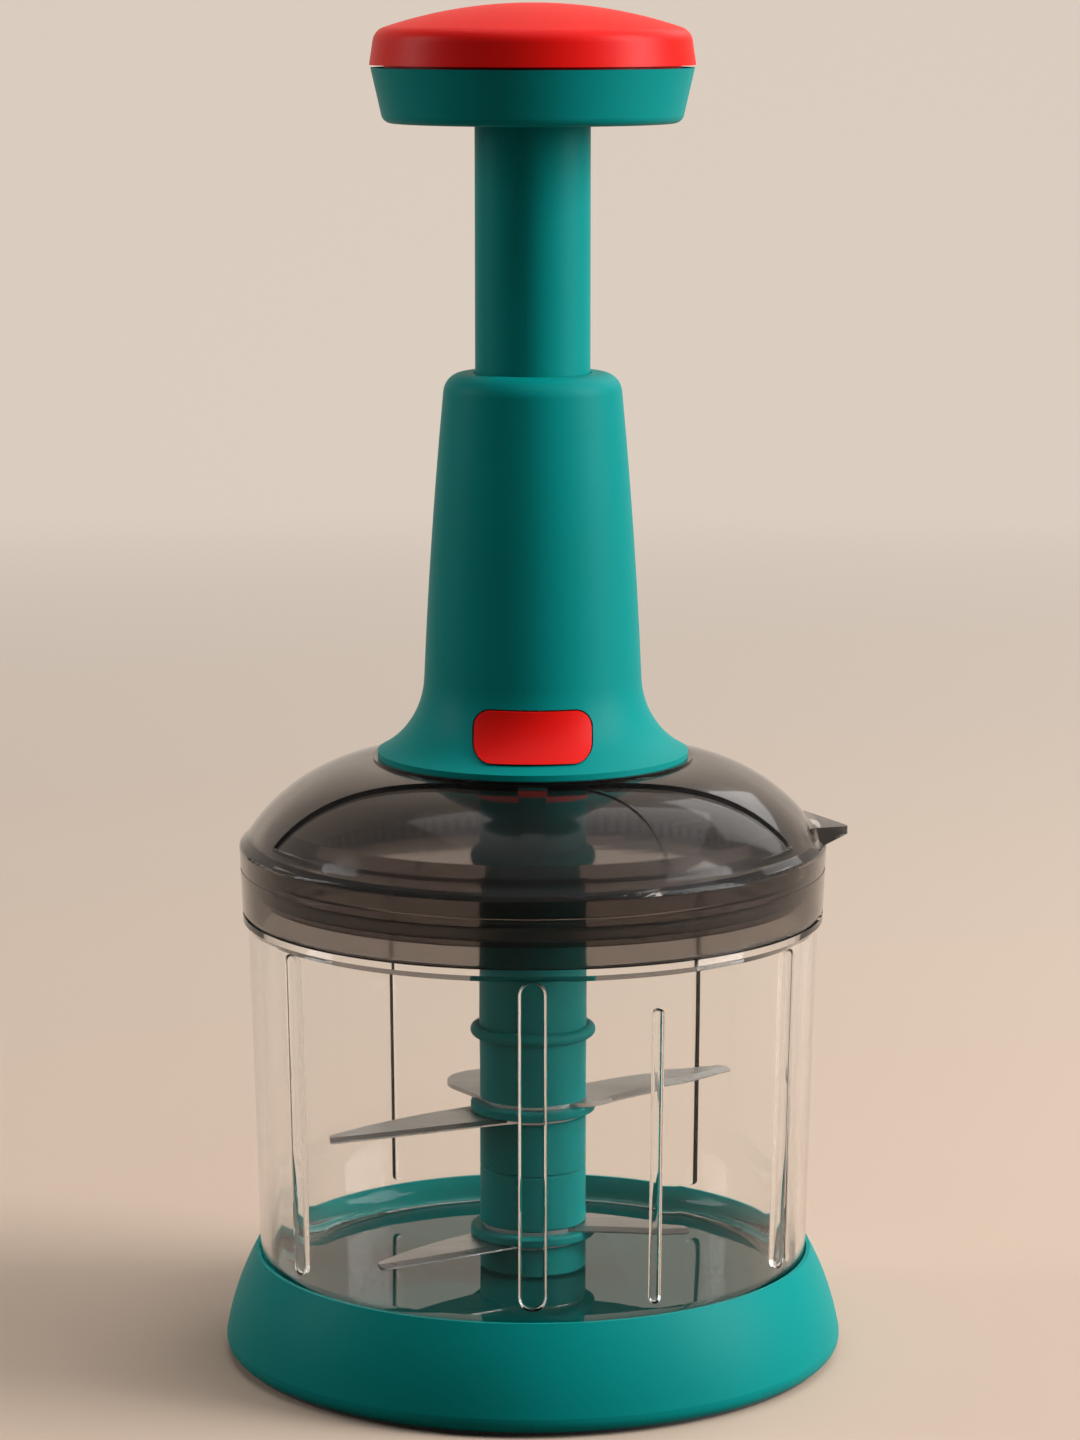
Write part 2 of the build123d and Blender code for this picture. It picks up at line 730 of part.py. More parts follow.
# Bush and washer that carry the rod
with BuildPart() as rod_bush:
    cylinder(rod_bush_radius - fit_gap, neck_low_z, bush_top_z)
    cylinder(rod_bush_radius + bush_flange_width, plate_top_z, bush_top_z)
    cylinder(rod_radius + fit_gap, neck_low_z - overrun, bush_top_z + overrun, Mode.SUBTRACT)
rod_bush.part.label = "rod_bush"
export_step(rod_bush.part, "parts/rod_bush.step")

with BuildPart() as thrust_washer:
    ring(rod_bush_radius, rod_radius + run_gap, bush_top_z, rod_collar_z - fit_gap)
thrust_washer.part.label = "thrust_washer"
export_step(thrust_washer.part, "parts/thrust_washer.step")

# Guide sleeve in the tower, with two keys for the nut and a slot for the catch's tongue
tongue_z = nut_flange_top_z - stroke + run_gap
sleeve_top_z = tower_top_z - tower_roof

with BuildPart() as guide_sleeve:
    ring(sleeve_radius, guide_radius, plate_top_z, sleeve_top_z)
    with Locations(Plane.XY.offset(plate_top_z)):
        with PolarLocations(guide_radius - key_height, 2):
            Box(
                key_height + sleeve_wall / 2,
                key_width,
                sleeve_top_z - plate_top_z,
                align=(Align.MIN, Align.CENTER, Align.MIN),
            )
    cylinder(guide_radius, nut_flange_top_z + run_gap, sleeve_top_z + overrun, Mode.SUBTRACT)
    with Locations((0, -guide_radius, tongue_z + tongue_height / 2)):
        Box(
            2 * (tongue_half_width + run_gap),
            4 * sleeve_wall,
            tongue_height + 2 * run_gap,
            mode=Mode.SUBTRACT,
        )
guide_sleeve.part.label = "guide_sleeve"
export_step(guide_sleeve.part, "parts/guide_sleeve.step")

# Guide bush at the top of the sleeve, which also stops the nut
with BuildPart() as guide_bush:
    ring(guide_radius - fit_gap, tube_radius + fit_gap, nut_flange_top_z + run_gap, sleeve_top_z)
guide_bush.part.label = "guide_bush"
export_step(guide_bush.part, "parts/guide_bush.step")

# Plunger tube with a closed top
with BuildPart() as plunger_tube:
    cylinder(tube_radius, nut_flange_top_z, tube_top_z)
    cylinder(tube_bore, nut_flange_top_z - overrun, tube_ceiling_z, Mode.SUBTRACT)
    cylinder(knob_screw_radius, tube_ceiling_z - overrun, tube_top_z + overrun, Mode.SUBTRACT)
    with Locations(Plane.XY.offset(nut_flange_top_z + nut_spigot_height / 2)):
        with PolarLocations(tube_bore, 2, start_angle=90):
            Cylinder(nut_pin_radius, 4 * tube_wall, rotation=(0, 90, 0), mode=Mode.SUBTRACT)
plunger_tube.part.label = "plunger_tube"
export_step(plunger_tube.part, "parts/plunger_tube.step")

# Drive nut in the end of the tube, with a twisted hole and slots for the sleeve's keys
nut_hole = twisted_bar(twist_gap, nut_z - overrun, nut_top_z + overrun)

with BuildPart() as drive_nut:
    cylinder(nut_flange_radius, nut_z, nut_flange_top_z)
    cylinder(tube_bore - fit_gap, nut_z, nut_top_z)
    add(nut_hole, mode=Mode.SUBTRACT)
    with Locations(Plane.XY.offset(nut_z)):
        with PolarLocations(nut_flange_radius, 2):
            Box(
                2 * key_height,
                key_width + 2 * run_gap,
                2 * nut_flange_height + overrun,
                mode=Mode.SUBTRACT,
            )
    with Locations(Plane.XY.offset(nut_flange_top_z + nut_spigot_height / 2)):
        with PolarLocations(tube_radius - nut_pin_length, 2, start_angle=90):
            Cylinder(
                nut_pin_radius,
                nut_pin_length,
                rotation=(0, 90, 0),
                align=(Align.CENTER, Align.CENTER, Align.MIN),
                mode=Mode.SUBTRACT,
            )
drive_nut.part.label = "drive_nut"
export_step(drive_nut.part, "parts/drive_nut.step")

# Two pins that hold the nut in the tube
with BuildPart() as nut_pins:
    with Locations(Plane.XY.offset(nut_flange_top_z + nut_spigot_height / 2)):
        with PolarLocations(tube_radius - nut_pin_length, 2, start_angle=90):
            Cylinder(
                nut_pin_radius - fit_gap,
                nut_pin_length - run_gap,
                rotation=(0, 90, 0),
                align=(Align.CENTER, Align.CENTER, Align.MIN),
            )
nut_pins.part.label = "nut_pins"
export_step(nut_pins.part, "parts/nut_pins.step")

# Knob cup: the teal underside, with a hub on the tube and ribs inside
cup_mouth_radius = knob_radius - seam_gap / 2
cup_bore = cup_mouth_radius - cup_wall
hub_radius = tube_radius + hub_wall
cup_rib_top_z = seam_z - lip_depth

with BuildPart() as knob_cup:
    with BuildSketch(Plane.XZ) as section:
        with BuildLine():
            Polyline(
                (0, knob_z),
                (knob_foot_radius, knob_z),
                (cup_mouth_radius, seam_z),
                (cup_bore, seam_z),
                (knob_foot_radius - cup_wall, knob_z + cup_floor),
                (0, knob_z + cup_floor),
                close=True,
            )
        make_face()
        fillet(corner(section, knob_foot_radius, knob_z), cup_round)
    revolve(axis=Axis.Z)
    cylinder(hub_radius, knob_z, hub_top_z)
    with Locations(Plane.XY.offset(knob_z + cup_floor)):
        with PolarLocations(hub_radius - hub_wall / 2, cup_rib_count):
            Box(
                knob_foot_radius - cup_wall - hub_radius + hub_wall,
                cup_rib,
                cup_rib_top_z - knob_z - cup_floor,
                align=(Align.MIN, Align.CENTER, Align.MIN),
            )
    cylinder(tube_radius + fit_gap, knob_z - overrun, tube_top_z, Mode.SUBTRACT)
    cylinder(knob_screw_radius + fit_gap, tube_top_z, hub_top_z + overrun, Mode.SUBTRACT)
knob_cup.part.label = "knob_cup"
export_step(knob_cup.part, "parts/knob_cup.step")

# Screw from the hub into the end of the tube
with BuildPart() as knob_screw:
    cylinder(knob_screw_radius - fit_gap, tube_ceiling_z, hub_top_z)
    cylinder(knob_screw_head, hub_top_z, hub_top_z + knob_screw_head_height)
knob_screw.part.label = "knob_screw"
export_step(knob_screw.part, "parts/knob_screw.step")

# Knob cap: the red domed top, with a lip that stands on the cup's ribs
cap_low_z = seam_z + seam_gap
cap_top_z = cap_low_z + cap_height
cap_edge = (knob_radius - cap_edge_inset, cap_low_z + cap_edge_height)
cap_inner_edge = (cap_edge[0] - cap_wall, cap_edge[1] - cap_wall)
cup_lean = (cup_bore - knob_foot_radius + cup_wall) / (cup_height - cup_floor)
lip_radius = cup_bore - cup_lean * lip_depth - fit_gap

with BuildPart() as knob_cap:
    with BuildSketch(Plane.XZ) as section:
        with BuildLine():
            TangentArc((0, cap_top_z), cap_edge, tangent=(1, 0))
            Polyline(
                cap_edge,
                (knob_radius, cap_low_z),
                (lip_radius - lip_wall / 2, cap_low_z),
                cap_inner_edge,
            )
            TangentArc((0, cap_top_z - cap_wall), cap_inner_edge, tangent=(1, 0))
            Line((0, cap_top_z - cap_wall), (0, cap_top_z))
        make_face()
        fillet(corner(section, *cap_edge), cap_round)
    revolve(axis=Axis.Z)
    ring_top_z = cap_low_z + cap_wall
    with BuildSketch(Plane.XZ):
        with Locations((lip_radius - lip_wall, cup_rib_top_z)):
            Rectangle(lip_wall, ring_top_z - cup_rib_top_z, align=(Align.MIN, Align.MIN))
    revolve(axis=Axis.Z)
knob_cap.part.label = "knob_cap"
export_step(knob_cap.part, "parts/knob_cap.step")

# Twisted rod: journal, collar, twisted flat bar, a tip for the spring seat and a square foot
rod_square_low_z = shaft_top_z + run_gap + sleeve_screw_head_height
sleeve_top = neck_low_z - run_gap
twist_bar = twisted_bar(0, twist_z, rod_top_z)

with BuildPart() as twisted_rod:
    cylinder(rod_radius, sleeve_top, twist_z)
    cylinder(rod_collar_radius, rod_collar_z, twist_z)
    add(twist_bar)
    cylinder(rod_tip_radius, rod_top_z, rod_top_z + rod_tip_height)
    with BuildSketch(Plane.XY.offset(rod_square_low_z)):
        Rectangle(rod_square, rod_square)
    extrude(amount=sleeve_top - rod_square_low_z)
    cylinder(
        sleeve_screw_radius, rod_square_low_z - overrun, rod_square_low_z + sleeve_screw_grip, Mode.SUBTRACT
    )
twisted_rod.part.label = "twisted_rod"
export_step(twisted_rod.part, "parts/twisted_rod.step")

# Seat for the return spring on the rod's tip
seat_top_z = rod_top_z + seat_thickness
with BuildPart() as spring_seat:
    ring(seat_radius, rod_tip_radius + fit_gap, rod_top_z, seat_top_z)
spring_seat.part.label = "spring_seat"
export_step(spring_seat.part, "parts/spring_seat.step")

# Return spring between the seat and the closed end of the tube
return_coil = coil(
    spring_turns, tube_ceiling_z - seat_top_z - 2 * fit_gap, spring_radius, spring_wire,
    Plane.XY.offset(seat_top_z + fit_gap),
)
with BuildPart() as return_spring:
    add(return_coil)
return_spring.part.label = "return_spring"
export_step(return_spring.part, "parts/return_spring.step")

# Drive sleeve under the lid, with a hexagon dog that enters the blade shaft
dog_low_z = shaft_top_z - dog_length
dog = hexagon(dog_radius, dog_low_z, shaft_top_z + run_gap)

with BuildPart() as drive_sleeve:
    cylinder(shaft_radius, shaft_top_z + run_gap, sleeve_top)
    add(dog)
    with BuildSketch(Plane.XY.offset(rod_square_low_z)):
        Rectangle(rod_square + 2 * fit_gap, rod_square + 2 * fit_gap)
    extrude(amount=sleeve_top - rod_square_low_z, mode=Mode.SUBTRACT)
    cylinder(sleeve_screw_radius + fit_gap, dog_low_z, rod_square_low_z + overrun, Mode.SUBTRACT)
    cylinder(sleeve_screw_head + fit_gap, dog_low_z - overrun, shaft_top_z, Mode.SUBTRACT)
drive_sleeve.part.label = "drive_sleeve"
export_step(drive_sleeve.part, "parts/drive_sleeve.step")

# Screw that holds the sleeve on the rod
with BuildPart() as sleeve_screw:
    cylinder(sleeve_screw_radius - fit_gap, shaft_top_z, rod_square_low_z + sleeve_screw_grip)
    cylinder(sleeve_screw_head, shaft_top_z - sleeve_screw_head_height, shaft_top_z)
sleeve_screw.part.label = "sleeve_screw"
export_step(sleeve_screw.part, "parts/sleeve_screw.step")

# Catch: a plate behind the button and a tongue that hooks over the nut's flange
catch_back = catch_front - catch_plate
catch_low_z = collar_z + button_rise - catch_lip
catch_top_z = collar_z + button_rise + button_height - button_round
button_spring_z = collar_z + button_rise + button_height / 3
spring_hole = button_spring_radius + button_spring_wire / 2 + run_gap
spring_front = catch_front + button_travel

with BuildPart() as lock_tongue:
    with BuildSketch(Plane.XZ.offset(catch_back)) as outline:
        with Locations((0, catch_low_z)):
            Rectangle(2 * catch_half_width, catch_top_z - catch_low_z, align=(Align.CENTER, Align.MIN))
        with Locations((0, catch_top_z)):
            Rectangle(2 * catch_top_half_width, button_round + catch_lip, align=(Align.CENTER, Align.MIN))
        with Locations((0, button_spring_z)):
            Circle(spring_hole, mode=Mode.SUBTRACT)
    extrude(amount=catch_plate)
    with Locations((0, -catch_back, tongue_z)):
        Box(
            2 * tongue_half_width,
            catch_back - guide_radius - run_gap,
            tongue_height,
            align=(Align.CENTER, Align.MIN, Align.MIN),
        )
lock_tongue.part.label = "lock_tongue"
export_step(lock_tongue.part, "parts/lock_tongue.step")

# Red button: the rounded block cut to the tower's flare, with a pocket for its spring
button_body = button_block(0, catch_front)
with BuildPart() as lock_button:
    revolve(button_outside, axis=Axis.Z)
    add(button_body, mode=Mode.INTERSECT)
    with BuildSketch(Plane.XZ.offset(catch_front)):
        with Locations((0, button_spring_z)):
            Circle(spring_hole)
    extrude(amount=button_travel, mode=Mode.SUBTRACT)
lock_button.part.label = "lock_button"
export_step(lock_button.part, "parts/lock_button.step")

# Button spring between the guide sleeve and the pocket
button_coil = coil(
    button_spring_turns,
    spring_front - sleeve_radius - 2 * fit_gap,
    button_spring_radius,
    button_spring_wire,
    Plane(origin=(0, -sleeve_radius - fit_gap, button_spring_z), x_dir=(1, 0, 0), z_dir=(0, -1, 0)),
)
with BuildPart() as button_spring:
    add(button_coil)
button_spring.part.label = "button_spring"
export_step(button_spring.part, "parts/button_spring.step")

# Blade shaft: segments stacked on the hexagon core of the upper one
upper_blade_z = upper_flange_z + flange_thickness
second_blade_z = upper_flange_z - blade_thickness
third_blade_z = lower_flange_z + flange_thickness
fourth_blade_z = lower_flange_z - blade_thickness
shaft_low_z = upper_blade_z + blade_thickness
shaft_seam_z = floor_z + seam_height
core_low_z = floor_z + core_clear
pin_top_z = floor_z + pin_height
core = hexagon(core_radius, core_low_z, shaft_low_z)
core_hole = hexagon(core_radius + fit_gap, floor_z, shaft_low_z + overrun)
socket = hexagon(dog_radius + dog_gap, dog_low_z - overrun, shaft_top_z + overrun)


def segment(low, high):
    """One turned segment of the shaft with chamfered ends and a hexagon hole."""
    with BuildPart() as piece:
        cylinder(shaft_radius, low, high)
        rims = piece.edges().filter_by(GeomType.CIRCLE)
        chamfer(rims, seam_chamfer)
        add(core_hole, mode=Mode.SUBTRACT)
    return piece


def spacer(low):
    """Round flange between two blades, with a hexagon hole."""
    with BuildPart() as piece:
        cylinder(flange_radius, low, low + flange_thickness)
        fillet(piece.edges().filter_by(GeomType.CIRCLE), flange_thickness / 4)
        add(core_hole, mode=Mode.SUBTRACT)
    return piece


with BuildPart() as shaft_upper:
    cylinder(shaft_radius, shaft_low_z, shaft_top_z)
    add(core)
    with BuildSketch(Plane.XZ):
        with Locations((flange_radius - bead_section, floor_z + bead_rise)):
            Circle(bead_section)
        with Locations((flange_radius - top_bead_section, shaft_top_z - top_bead_drop)):
            Circle(top_bead_section)
    revolve(axis=Axis.Z)
    add(socket, mode=Mode.SUBTRACT)
    cylinder(pin_bush_radius, core_low_z - overrun, pin_top_z + fit_gap, Mode.SUBTRACT)
shaft_upper.part.label = "shaft_upper"
export_step(shaft_upper.part, "parts/shaft_upper.step")

shaft_middle = segment(shaft_seam_z, second_blade_z)
shaft_middle.part.label = "shaft_middle"
export_step(shaft_middle.part, "parts/shaft_middle.step")

shaft_lower = segment(third_blade_z + blade_thickness, shaft_seam_z)
shaft_lower.part.label = "shaft_lower"
export_step(shaft_lower.part, "parts/shaft_lower.step")

upper_spacer = spacer(upper_flange_z)
upper_spacer.part.label = "upper_spacer"
export_step(upper_spacer.part, "parts/upper_spacer.step")

lower_spacer = spacer(lower_flange_z)
lower_spacer.part.label = "lower_spacer"
export_step(lower_spacer.part, "parts/lower_spacer.step")

shaft_foot = segment(floor_z + run_gap, fourth_blade_z)
shaft_foot.part.label = "shaft_foot"
export_step(shaft_foot.part, "parts/shaft_foot.step")

# Bush in the core that turns on the pivot pin
with BuildPart() as pivot_bush:
    ring(pin_bush_radius - fit_gap, pin_radius + fit_gap, core_low_z, pin_top_z - pin_radius / 2)
pivot_bush.part.label = "pivot_bush"
export_step(pivot_bush.part, "parts/pivot_bush.step")


# Blades: steel sheets with a ground edge in front, each with a hexagon hole on the core
def arm(angle, reach, root, side, aside=0):
    """Outline of an arm from the axis out: straight edge with a round shoulder, bowed back, round tip."""
    tip = arm_tip_share * root
    with BuildSketch() as outline:
        with BuildLine():
            straight = Line((0, side * root / 2), (reach, side * tip))
            end = Line(straight @ 1, (reach - tip, -side * tip))
            SagittaArc(end @ 1, (0, -side * root / 2), side * arm_belly_share * reach)
            Line((0, -side * root / 2), straight @ 0)
        make_face()
        tip_corners = [corner(outline, reach, side * tip), corner(outline, reach - tip, -side * tip)]
        fillet(tip_corners, blade_tip_round)
        fillet(corner(outline, 0, side * root / 2), root / 2)
    return (Pos(Y=side * aside) * outline.sketch).rotate(Axis.Z, angle)


def ground_edge(low, angle, reach, root, side, aside=0):
    """Wedge that grinds an arm's straight edge on top, from the hub to past the tip."""
    top = low + blade_thickness
    start = Vector(0, side * root / 2, top)
    along = (Vector(reach, side * arm_tip_share * root, top) - start).normalized()
    outward = Vector(-along.Y, along.X, 0) * side
    across = Plane(origin=start + along * blade_hub_radius, x_dir=outward, z_dir=along * side)
    slope = edge_bevel_depth / edge_bevel_width
    with BuildPart() as wedge:
        with BuildSketch(across):
            with BuildLine():
                Polyline(
                    (-edge_bevel_width, 0),
                    (overrun, -edge_bevel_depth - slope * overrun),
                    (overrun, overrun),
                    (-edge_bevel_width, overrun),
                    close=True,
                )
            make_face()
        extrude(amount=side * reach)
    return (Pos(Y=side * aside) * wedge.part).rotate(Axis.Z, angle)


def blade(low, *sizes):
    """Flat sheet with a round hub and one arm, ground on top.

    The sizes are the arm's angle, reach, root width, side of its straight edge and shift to that side.
    """
    outline = arm(*sizes)
    wedge = ground_edge(low, *sizes)
    with BuildPart() as sheet:
        with BuildSketch(Plane.XY.offset(low)):
            Circle(blade_hub_radius)
            add(outline)
            RegularPolygon(core_radius + fit_gap, 6, mode=Mode.SUBTRACT)
        extrude(amount=blade_thickness)
        add(wedge, mode=Mode.SUBTRACT)
    return sheet


# Upper blade: its arm passes beside the axis, and a round lobe stands out behind
upper_sheet = blade(upper_blade_z, upper_angle, upper_reach, upper_root, -1, upper_aside)

with BuildPart() as upper_blade:
    add(upper_sheet.part)
    with BuildSketch(Plane.XY.offset(upper_blade_z)):
        with Locations(Rot(Z=lobe_angle) * Pos(X=(lobe_reach - lobe_round) / 2)):
            SlotCenterToCenter(lobe_reach - lobe_round, 2 * lobe_round)
        RegularPolygon(core_radius + fit_gap, 6, mode=Mode.SUBTRACT)
    extrude(amount=blade_thickness)
upper_blade.part.label = "upper_blade"
export_step(upper_blade.part, "parts/upper_blade.step")

second_blade = blade(second_blade_z, second_angle, second_reach, second_root, 1)
second_blade.part.label = "second_blade"
export_step(second_blade.part, "parts/second_blade.step")

third_blade = blade(third_blade_z, third_angle, third_reach, third_root, -1)
third_blade.part.label = "third_blade"
export_step(third_blade.part, "parts/third_blade.step")

fourth_blade = blade(fourth_blade_z, fourth_angle, fourth_reach, fourth_root, 1)
fourth_blade.part.label = "fourth_blade"
export_step(fourth_blade.part, "parts/fourth_blade.step")
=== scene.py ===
import json
import math

import bpy
import numpy as np
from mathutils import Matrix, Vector


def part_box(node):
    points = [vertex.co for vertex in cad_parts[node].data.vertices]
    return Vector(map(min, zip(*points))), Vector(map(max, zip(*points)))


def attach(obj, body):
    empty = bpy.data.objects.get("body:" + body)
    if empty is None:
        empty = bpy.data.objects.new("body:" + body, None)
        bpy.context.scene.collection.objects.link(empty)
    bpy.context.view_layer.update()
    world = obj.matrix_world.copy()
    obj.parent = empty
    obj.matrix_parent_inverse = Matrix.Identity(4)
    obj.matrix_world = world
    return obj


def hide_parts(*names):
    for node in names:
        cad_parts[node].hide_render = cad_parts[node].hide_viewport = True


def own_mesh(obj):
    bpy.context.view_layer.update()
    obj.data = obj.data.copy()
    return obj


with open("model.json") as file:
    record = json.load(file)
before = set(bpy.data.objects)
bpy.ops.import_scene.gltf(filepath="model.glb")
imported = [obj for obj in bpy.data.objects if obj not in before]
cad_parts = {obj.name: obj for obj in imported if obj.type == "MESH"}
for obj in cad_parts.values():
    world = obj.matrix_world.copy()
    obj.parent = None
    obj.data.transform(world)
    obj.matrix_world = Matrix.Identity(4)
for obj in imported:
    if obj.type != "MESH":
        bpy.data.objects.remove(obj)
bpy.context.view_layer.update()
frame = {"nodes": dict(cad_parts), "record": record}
nodes = frame["nodes"]
slotOf = {part["node"]: part["material_slot"] for part in frame["record"]["subparts"]}
print("frame loaded:", len(nodes), "nodes")


# a shader node in a finish's tree, with values set on its input sockets by name, where _ stands for a space
def addNode(tree, kind, **inputs):
    node = tree.nodes.new(kind)
    for socket, value in inputs.items():
        node.inputs[socket.replace("_", " ")].default_value = value
    return node


# a new finish: its node tree and its main shader
def newFinish(name):
    finish = bpy.data.materials.new(name)
    finish.use_nodes = True
    return finish, finish.node_tree, finish.node_tree.nodes["Principled BSDF"]


noiseSpan = (0.3, 0.7)  # a noise seldom leaves this part of 0 to 1
fineDetail = 3.0  # layers in the noise of a grain


# noise over the piece's own coordinates, stretched by a scale along each axis and turned about Z
def grainOf(tree, scale, detail=2.0, stretch=(1, 1, 1), turn=0.0):
    place = addNode(tree, "ShaderNodeTexCoord")
    mapping = addNode(tree, "ShaderNodeMapping", Rotation=(0, 0, turn), Scale=stretch)
    noise = addNode(tree, "ShaderNodeTexNoise", Scale=scale, Detail=detail)
    tree.links.new(place.outputs["Object"], mapping.inputs["Vector"])
    tree.links.new(mapping.outputs["Vector"], noise.inputs["Vector"])
    return noise.outputs[0]


# colour that drifts between two tones with a noise
def toneBetween(tree, noise, tones):
    ramp = addNode(tree, "ShaderNodeValToRGB")
    for stop, tone, place in zip(ramp.color_ramp.elements, tones, noiseSpan):
        stop.color = (*tone, 1)
        stop.position = place
    tree.links.new(noise, ramp.inputs["Fac"])
    return ramp.outputs["Color"]


# a number that runs between two values with a noise
def valueBetween(tree, noise, low, high):
    lowest, highest = noiseSpan
    span = addNode(tree, "ShaderNodeMapRange", From_Min=lowest, From_Max=highest, To_Min=low, To_Max=high)
    tree.links.new(noise, span.inputs["Value"])
    return span.outputs["Result"]


# surface lifted along its normal by a noise
def liftBy(tree, noise, depth, strength):
    bump = addNode(tree, "ShaderNodeBump", Strength=strength, Distance=depth)
    tree.links.new(noise, bump.inputs["Height"])
    return bump.outputs["Normal"]


# a grain on a shader: it sets both the roughness, between two values, and a fine bump
def grainOn(tree, shader, look):
    grain = grainOf(
        tree, look["grainScale"], fineDetail, look.get("stretch", (1, 1, 1)), look.get("turn", 0.0),
    )
    roughness = valueBetween(tree, grain, *look["roughness"])
    tree.links.new(roughness, shader.inputs["Roughness"])
    lifted = liftBy(tree, grain, look["grainDepth"], look["grainStrength"])
    tree.links.new(lifted, shader.inputs["Normal"])


# opaque finish: tone from a slow noise, roughness and bump from a fine grain
def solidFinish(name, look):
    finish, tree, shader = newFinish(name)
    drift = grainOf(tree, look["driftScale"])
    tree.links.new(toneBetween(tree, drift, look["tones"]), shader.inputs["Base Color"])
    grainOn(tree, shader, look)
    shader.inputs["Metallic"].default_value = look.get("metal", 0.0)
    shader.inputs["Anisotropic"].default_value = look.get("brushed", 0.0)
    shader.inputs["Specular IOR Level"].default_value = look.get("gloss", 0.5)
    return finish


# see-through finish: refracting shader for what is seen, plain tinted one for the lamps' shadow rays
def clearFinish(name, look):
    finish, tree, shader = newFinish(name)
    grainOn(tree, shader, look)
    shader.inputs["Base Color"].default_value = (*look["tint"], 1)
    shader.inputs["Transmission Weight"].default_value = 1.0
    shader.inputs["IOR"].default_value = look["ior"]
    shader.inputs["Specular Tint"].default_value = (*look["sheen"], 1)
    shader.inputs["Coat Weight"].default_value = look.get("satin", 0.0)
    shader.inputs["Coat Roughness"].default_value = look.get("satinRoughness", 0.0)
    lampLight = addNode(tree, "ShaderNodeBsdfTransparent", Color=(*look["lampTint"], 1))
    ray = addNode(tree, "ShaderNodeLightPath")
    either = addNode(tree, "ShaderNodeMixShader")
    tree.links.new(ray.outputs["Is Shadow Ray"], either.inputs[0])
    tree.links.new(shader.outputs["BSDF"], either.inputs[1])
    tree.links.new(lampLight.outputs["BSDF"], either.inputs[2])
    tree.links.new(either.outputs["Shader"], tree.nodes["Material Output"].inputs["Surface"])
    return finish


tealLook = {
    "tones": ((0.001, 0.235, 0.218), (0.001, 0.262, 0.244)),
    "driftScale": 22.0,
    "grainScale": 2600.0,
    "grainDepth": 0.00012,
    "grainStrength": 0.22,
    "roughness": (0.40, 0.52),
    "gloss": 0.06,
}
redLook = {
    "tones": ((0.74, 0.004, 0.002), (0.80, 0.006, 0.003)),
    "driftScale": 26.0,
    "grainScale": 2600.0,
    "grainDepth": 0.00010,
    "grainStrength": 0.16,
    "roughness": (0.36, 0.46),
    "gloss": 0.13,
}
# a darker copy of the teal: painted shade for the pieces inside the bowl
shadedTealLook = dict(tealLook, tones=((0.001, 0.148, 0.138), (0.001, 0.166, 0.155)))
clearLook = {
    "tint": (0.975, 0.98, 0.975),
    "lampTint": (0.74, 0.745, 0.74),
    "grainScale": 60.0,
    "grainDepth": 0.00002,
    "grainStrength": 0.05,
    "roughness": (0.0, 0.03),
    "sheen": (0.16, 0.165, 0.165),
    "ior": 1.49,
}
smokedLook = {
    "tint": (0.285, 0.262, 0.252),
    "lampTint": (0.45, 0.44, 0.43),
    "grainScale": 1500.0,
    "grainDepth": 0.00002,
    "grainStrength": 0.05,
    "roughness": (0.05, 0.09),
    "sheen": (0.03, 0.03, 0.03),
    "satin": 0.14,
    "satinRoughness": 0.45,
    "ior": 1.40,
}
darkLook = {
    "tones": ((0.030, 0.036, 0.036), (0.042, 0.050, 0.050)),
    "driftScale": 60.0,
    "grainScale": 2400.0,
    "grainDepth": 0.0001,
    "grainStrength": 0.2,
    "roughness": (0.42, 0.52),
}
whiteLook = {
    "tones": ((0.74, 0.74, 0.71), (0.80, 0.80, 0.77)),
    "driftScale": 60.0,
    "grainScale": 2400.0,
    "grainDepth": 0.0001,
    "grainStrength": 0.15,
    "roughness": (0.40, 0.50),
}
gripLook = {
    "tones": ((0.085, 0.092, 0.092), (0.105, 0.112, 0.112)),
    "driftScale": 40.0,
    "grainScale": 1800.0,
    "grainDepth": 0.0002,
    "grainStrength": 0.35,
    "roughness": (0.66, 0.80),
}
sealLook = {
    "tint": (0.80, 0.81, 0.80),
    "lampTint": (0.80, 0.80, 0.80),
    "grainScale": 900.0,
    "grainDepth": 0.0001,
    "grainStrength": 0.2,
    "roughness": (0.32, 0.42),
    "sheen": (1.0, 1.0, 1.0),
    "ior": 1.41,
}
turnedLook = {
    "tones": ((0.52, 0.52, 0.51), (0.60, 0.60, 0.59)),
    "driftScale": 300.0,
    "grainScale": 900.0,
    "stretch": (1, 1, 6),
    "grainDepth": 0.00004,
    "grainStrength": 0.2,
    "roughness": (0.24, 0.36),
    "metal": 1.0,
}
wireLook = {
    "tones": ((0.42, 0.42, 0.42), (0.50, 0.50, 0.49)),
    "driftScale": 400.0,
    "grainScale": 1500.0,
    "grainDepth": 0.00003,
    "grainStrength": 0.2,
    "roughness": (0.28, 0.40),
    "metal": 1.0,
}
bladeLook = {
    "tones": ((0.33, 0.328, 0.322), (0.40, 0.397, 0.392)),
    "driftScale": 90.0,
    "grainScale": 420.0,
    "stretch": (0.06, 4, 4),  # long streaks down the arm
    "grainDepth": 0.00003,
    "grainStrength": 0.25,
    "roughness": (0.26, 0.40),
    "metal": 1.0,
    "brushed": 0.35,
}
bronzeLook = {
    "tones": ((0.50, 0.34, 0.16), (0.60, 0.42, 0.20)),
    "driftScale": 500.0,
    "grainScale": 2200.0,
    "grainDepth": 0.00006,
    "grainStrength": 0.3,
    "roughness": (0.38, 0.52),
    "metal": 1.0,
}
